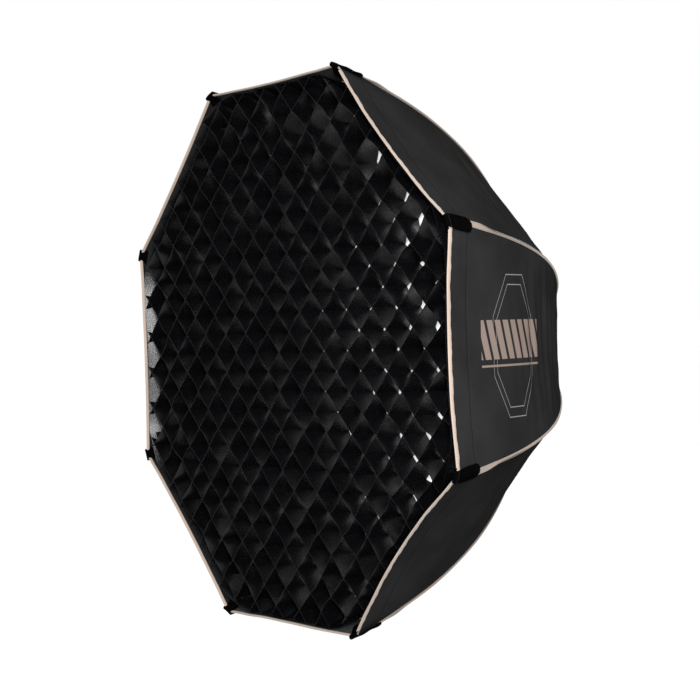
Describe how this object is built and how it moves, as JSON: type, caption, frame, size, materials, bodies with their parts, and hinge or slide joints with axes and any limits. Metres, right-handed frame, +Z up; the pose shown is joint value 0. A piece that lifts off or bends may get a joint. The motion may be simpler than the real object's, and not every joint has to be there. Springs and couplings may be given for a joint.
{
  "type": "folding octagonal softbox",
  "caption": "Folding octagonal softbox with a ribbed black fabric canopy, two white diffusers, a fabric egg-crate grid and a rotating hub on a bayonet ring.",
  "frame": {"origin": "centre of the bayonet ring's mounting face, on the optical axis", "axes": "+Y points backwards out of the hub towards the lamp, so the front faces -Y; +Z is up; +X is to the right seen from in front"},
  "size_m": [0.846, 0.5232, 0.846],
  "materials": {
    "canopy_nylon": "woven black nylon outside, silver reflective lining inside",
    "webbing": "ribbed black polypropylene webbing",
    "diffuser_cloth": "thin white translucent diffusion cloth",
    "grid_cloth": "black coated grid cloth with a slight satin sheen",
    "black_plastic": "moulded black glass-filled nylon, fine grain",
    "black_aluminium": "black anodised aluminium",
    "steel": "bright zinc-plated steel",
    "fibreglass": "smooth dark grey fibreglass rod"
  },
  "bodies": {
    "mount": {"bayonet_ring": "black_aluminium", "retaining_ring": "steel"},
    "hub": {"hub_body": "black_plastic", "hub_rear_cover": "black_plastic", "hinge_wire": "steel", "rear_collar": "canopy_nylon", "cover_screw_1": "steel", "cover_screw_2": "steel", "cover_screw_3": "steel", "cover_screw_4": "steel"},
    "lock_knob": {"lock_screw": "steel", "rotation_lock_knob": "black_plastic"},
    "button_left": {"release_button_left": "black_plastic"},
    "button_right": {"release_button_right": "black_plastic"},
    "rib_1": {"rib_1": "fibreglass", "rib_socket_1": "black_plastic", "corner_cap_1": "webbing"},
    "rib_2": {"rib_2": "fibreglass", "rib_socket_2": "black_plastic", "corner_cap_2": "webbing"},
    "rib_3": {"rib_3": "fibreglass", "rib_socket_3": "black_plastic", "corner_cap_3": "webbing"},
    "rib_4": {"rib_4": "fibreglass", "rib_socket_4": "black_plastic", "corner_cap_4": "webbing"},
    "rib_5": {"rib_5": "fibreglass", "rib_socket_5": "black_plastic", "corner_cap_5": "webbing"},
    "rib_6": {"rib_6": "fibreglass", "rib_socket_6": "black_plastic", "corner_cap_6": "webbing"},
    "rib_7": {"rib_7": "fibreglass", "rib_socket_7": "black_plastic", "corner_cap_7": "webbing"},
    "rib_8": {"rib_8": "fibreglass", "rib_socket_8": "black_plastic", "corner_cap_8": "webbing"},
    "panel_1_a": {"panel_1_a": "canopy_nylon"},
    "panel_1_b": {"panel_1_b": "canopy_nylon"},
    "panel_2_a": {"panel_2_a": "canopy_nylon"},
    "panel_2_b": {"panel_2_b": "canopy_nylon"},
    "panel_3_a": {"panel_3_a": "canopy_nylon"},
    "panel_3_b": {"panel_3_b": "canopy_nylon"},
    "panel_4_a": {"panel_4_a": "canopy_nylon"},
    "panel_4_b": {"panel_4_b": "canopy_nylon"},
    "panel_5_a": {"panel_5_a": "canopy_nylon"},
    "panel_5_b": {"panel_5_b": "canopy_nylon"},
    "panel_6_a": {"panel_6_a": "canopy_nylon"},
    "panel_6_b": {"panel_6_b": "canopy_nylon"},
    "panel_7_a": {"panel_7_a": "canopy_nylon"},
    "panel_7_b": {"panel_7_b": "canopy_nylon"},
    "panel_8_a": {"panel_8_a": "canopy_nylon"},
    "panel_8_b": {"panel_8_b": "canopy_nylon"},
    "front_diffuser": {"front_diffuser": "diffuser_cloth"},
    "inner_diffuser": {"inner_diffuser": "diffuser_cloth"},
    "grid": {"grid": "grid_cloth"}
  },
  "joints": [
    {"name": "rotation", "type": "hinge", "parent": "mount", "child": "hub", "pos_m": [0, 0, 0], "axis": [0, 1, 0], "continuous": true},
    {"name": "lock_knob_turn", "type": "hinge", "parent": "hub", "child": "lock_knob", "pos_m": [0.07071, -0.015, -0.07071], "axis": [0.7071, 0, -0.7071], "range_deg": [-270, 0]},
    {"name": "release_left", "type": "slide", "parent": "hub", "child": "button_left", "axis": [-1, 0, 0], "range_m": [0, 0.004], "stiffness_N_per_m": 500, "springref_m": -0.003},
    {"name": "release_right", "type": "slide", "parent": "hub", "child": "button_right", "axis": [1, 0, 0], "range_m": [0, 0.004], "stiffness_N_per_m": 500, "springref_m": -0.003},
    {"name": "fold", "type": "hinge", "parent": "hub", "child": "rib_1", "pos_m": [0.06929, -0.041, 0.0287], "axis": [0.3827, 0, -0.9239], "range_deg": [0, 38], "deforming": ["panel_1_a", "panel_1_b", "panel_2_a", "panel_2_b", "panel_3_a", "panel_3_b", "panel_4_a", "panel_4_b", "panel_5_a", "panel_5_b", "panel_6_a", "panel_6_b", "panel_7_a", "panel_7_b", "panel_8_a", "panel_8_b", "front_diffuser", "inner_diffuser", "grid"]},
    {"name": "fold_2", "type": "hinge", "parent": "hub", "child": "rib_2", "pos_m": [0.0287, -0.041, 0.06929], "axis": [0.9239, 0, -0.3827], "range_deg": [0, 38]},
    {"name": "fold_3", "type": "hinge", "parent": "hub", "child": "rib_3", "pos_m": [-0.0287, -0.041, 0.06929], "axis": [0.9239, 0, 0.3827], "range_deg": [0, 38]},
    {"name": "fold_4", "type": "hinge", "parent": "hub", "child": "rib_4", "pos_m": [-0.06929, -0.041, 0.0287], "axis": [0.3827, 0, 0.9239], "range_deg": [0, 38]},
    {"name": "fold_5", "type": "hinge", "parent": "hub", "child": "rib_5", "pos_m": [-0.06929, -0.041, -0.0287], "axis": [-0.3827, 0, 0.9239], "range_deg": [0, 38]},
    {"name": "fold_6", "type": "hinge", "parent": "hub", "child": "rib_6", "pos_m": [-0.0287, -0.041, -0.06929], "axis": [-0.9239, 0, 0.3827], "range_deg": [0, 38]},
    {"name": "fold_7", "type": "hinge", "parent": "hub", "child": "rib_7", "pos_m": [0.0287, -0.041, -0.06929], "axis": [-0.9239, 0, -0.3827], "range_deg": [0, 38]},
    {"name": "fold_8", "type": "hinge", "parent": "hub", "child": "rib_8", "pos_m": [0.06929, -0.041, -0.0287], "axis": [-0.3827, 0, -0.9239], "range_deg": [0, 38]},
    {"name": "pleat_1_a", "type": "hinge", "parent": "rib_1", "child": "panel_1_a", "pos_m": [0.06358, -0.041, 0.04248], "axis": [-0.0895, 0.1021, 0.9907], "range_deg": [0, 22.27]},
    {"name": "pleat_1_b", "type": "hinge", "parent": "rib_1", "child": "panel_1_b", "pos_m": [0.075, -0.041, 0.01492], "axis": [-0.6373, -0.1021, 0.7639], "range_deg": [0, 22.27]},
    {"name": "pleat_2_a", "type": "hinge", "parent": "rib_2", "child": "panel_2_a", "pos_m": [0.01492, -0.041, 0.075], "axis": [-0.7639, 0.1021, 0.6373], "range_deg": [0, 22.27]},
    {"name": "pleat_2_b", "type": "hinge", "parent": "rib_2", "child": "panel_2_b", "pos_m": [0.04248, -0.041, 0.06358], "axis": [-0.9907, -0.1021, 0.0895], "range_deg": [0, 22.27]},
    {"name": "pleat_3_a", "type": "hinge", "parent": "rib_3", "child": "panel_3_a", "pos_m": [-0.04248, -0.041, 0.06358], "axis": [-0.9907, 0.1021, -0.0895], "range_deg": [0, 22.27]},
    {"name": "pleat_3_b", "type": "hinge", "parent": "rib_3", "child": "panel_3_b", "pos_m": [-0.01492, -0.041, 0.075], "axis": [-0.7639, -0.1021, -0.6373], "range_deg": [0, 22.27]},
    {"name": "pleat_4_a", "type": "hinge", "parent": "rib_4", "child": "panel_4_a", "pos_m": [-0.075, -0.041, 0.01492], "axis": [-0.6373, 0.1021, -0.7639], "range_deg": [0, 22.27]},
    {"name": "pleat_4_b", "type": "hinge", "parent": "rib_4", "child": "panel_4_b", "pos_m": [-0.06358, -0.041, 0.04248], "axis": [-0.0895, -0.1021, -0.9907], "range_deg": [0, 22.27]},
    {"name": "pleat_5_a", "type": "hinge", "parent": "rib_5", "child": "panel_5_a", "pos_m": [-0.06358, -0.041, -0.04248], "axis": [0.0895, 0.1021, -0.9907], "range_deg": [0, 22.27]},
    {"name": "pleat_5_b", "type": "hinge", "parent": "rib_5", "child": "panel_5_b", "pos_m": [-0.075, -0.041, -0.01492], "axis": [0.6373, -0.1021, -0.7639], "range_deg": [0, 22.27]},
    {"name": "pleat_6_a", "type": "hinge", "parent": "rib_6", "child": "panel_6_a", "pos_m": [-0.01492, -0.041, -0.075], "axis": [0.7639, 0.1021, -0.6373], "range_deg": [0, 22.27]},
    {"name": "pleat_6_b", "type": "hinge", "parent": "rib_6", "child": "panel_6_b", "pos_m": [-0.04248, -0.041, -0.06358], "axis": [0.9907, -0.1021, -0.0895], "range_deg": [0, 22.27]},
    {"name": "pleat_7_a", "type": "hinge", "parent": "rib_7", "child": "panel_7_a", "pos_m": [0.04248, -0.041, -0.06358], "axis": [0.9907, 0.1021, 0.0895], "range_deg": [0, 22.27]},
    {"name": "pleat_7_b", "type": "hinge", "parent": "rib_7", "child": "panel_7_b", "pos_m": [0.01492, -0.041, -0.075], "axis": [0.7639, -0.1021, 0.6373], "range_deg": [0, 22.27]},
    {"name": "pleat_8_a", "type": "hinge", "parent": "rib_8", "child": "panel_8_a", "pos_m": [0.075, -0.041, -0.01492], "axis": [0.6373, 0.1021, 0.7639], "range_deg": [0, 22.27]},
    {"name": "pleat_8_b", "type": "hinge", "parent": "rib_8", "child": "panel_8_b", "pos_m": [0.06358, -0.041, -0.04248], "axis": [0.0895, -0.1021, 0.9907], "range_deg": [0, 22.27]},
    {"name": "front_diffuser_off", "type": "slide", "parent": "hub", "child": "front_diffuser", "axis": [0, -1, 0], "range_m": [0, 0.45]},
    {"name": "inner_diffuser_off", "type": "slide", "parent": "hub", "child": "inner_diffuser", "axis": [0, -1, 0], "range_m": [0, 0.45]},
    {"name": "grid_off", "type": "slide", "parent": "front_diffuser", "child": "grid", "axis": [0, -1, 0], "range_m": [0, 0.25]}
  ],
  "couplings": [
    {"joint": "fold_2", "follows": "fold", "ratio": 1},
    {"joint": "fold_3", "follows": "fold", "ratio": 1},
    {"joint": "fold_4", "follows": "fold", "ratio": 1},
    {"joint": "fold_5", "follows": "fold", "ratio": 1},
    {"joint": "fold_6", "follows": "fold", "ratio": 1},
    {"joint": "fold_7", "follows": "fold", "ratio": 1},
    {"joint": "fold_8", "follows": "fold", "ratio": 1},
    {"joint": "pleat_1_a", "follows": "fold", "ratio": 0.58582},
    {"joint": "pleat_1_b", "follows": "fold", "ratio": 0.58582},
    {"joint": "pleat_2_a", "follows": "fold", "ratio": 0.58582},
    {"joint": "pleat_2_b", "follows": "fold", "ratio": 0.58582},
    {"joint": "pleat_3_a", "follows": "fold", "ratio": 0.58582},
    {"joint": "pleat_3_b", "follows": "fold", "ratio": 0.58582},
    {"joint": "pleat_4_a", "follows": "fold", "ratio": 0.58582},
    {"joint": "pleat_4_b", "follows": "fold", "ratio": 0.58582},
    {"joint": "pleat_5_a", "follows": "fold", "ratio": 0.58582},
    {"joint": "pleat_5_b", "follows": "fold", "ratio": 0.58582},
    {"joint": "pleat_6_a", "follows": "fold", "ratio": 0.58582},
    {"joint": "pleat_6_b", "follows": "fold", "ratio": 0.58582},
    {"joint": "pleat_7_a", "follows": "fold", "ratio": 0.58582},
    {"joint": "pleat_7_b", "follows": "fold", "ratio": 0.58582},
    {"joint": "pleat_8_a", "follows": "fold", "ratio": 0.58582},
    {"joint": "pleat_8_b", "follows": "fold", "ratio": 0.58582},
    {"joint": "front_diffuser_off", "follows": "fold", "m_per_rad": 0.678},
    {"joint": "inner_diffuser_off", "follows": "fold", "m_per_rad": 0.678}
  ]
}
